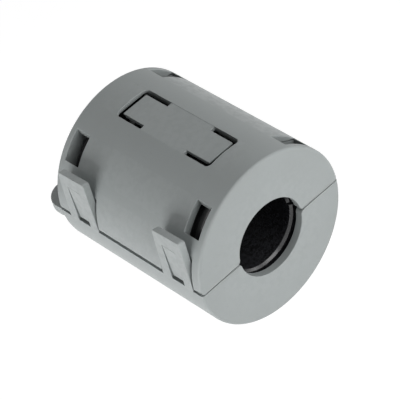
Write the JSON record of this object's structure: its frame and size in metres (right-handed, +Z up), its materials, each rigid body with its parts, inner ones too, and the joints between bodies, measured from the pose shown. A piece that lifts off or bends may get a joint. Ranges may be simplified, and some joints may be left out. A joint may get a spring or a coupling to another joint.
{
  "type": "clip-on ferrite core",
  "caption": "Round clip-on ferrite core: a hinged plastic case with two sprung latches clips a split ferrite ring round a cable.",
  "frame": {"origin": "on the bore's axis, at the middle of its length, in the plane where the two halves meet", "axes": "+Y along the bore towards the end with the opening tab, +Z up through the upper half's flat panel, latches at -X and living hinges at +X"},
  "size_m": [0.0304, 0.0381, 0.03],
  "materials": {
    "case_plastic": "fine moulded texture",
    "ferrite": "sintered and ground, dull"
  },
  "bodies": {
    "base": {"lower_case": "case_plastic", "lower_core": "ferrite", "front_hinge": "case_plastic", "rear_hinge": "case_plastic"},
    "lid": {"upper_case": "case_plastic", "upper_core": "ferrite"},
    "front_latch_strap": {"front_latch": "case_plastic"},
    "rear_latch_strap": {"rear_latch": "case_plastic"}
  },
  "joints": [
    {"name": "lid_hinge", "type": "hinge", "parent": "base", "child": "lid", "pos_m": [0.01547, 0, 0], "axis": [0, 1, 0], "range_deg": [0, 180], "deforming": ["front_hinge", "rear_hinge"]},
    {"name": "front_latch_flex", "type": "hinge", "parent": "base", "child": "front_latch_strap", "pos_m": [-0.015, -0.01095, -0.0001], "axis": [0, -1, 0], "range_deg": [0, 12], "stiffness_Nm_per_rad": 0.3},
    {"name": "rear_latch_flex", "type": "hinge", "parent": "base", "child": "rear_latch_strap", "pos_m": [-0.015, 0.01095, -0.0001], "axis": [0, -1, 0], "range_deg": [0, 12], "stiffness_Nm_per_rad": 0.3}
  ]
}
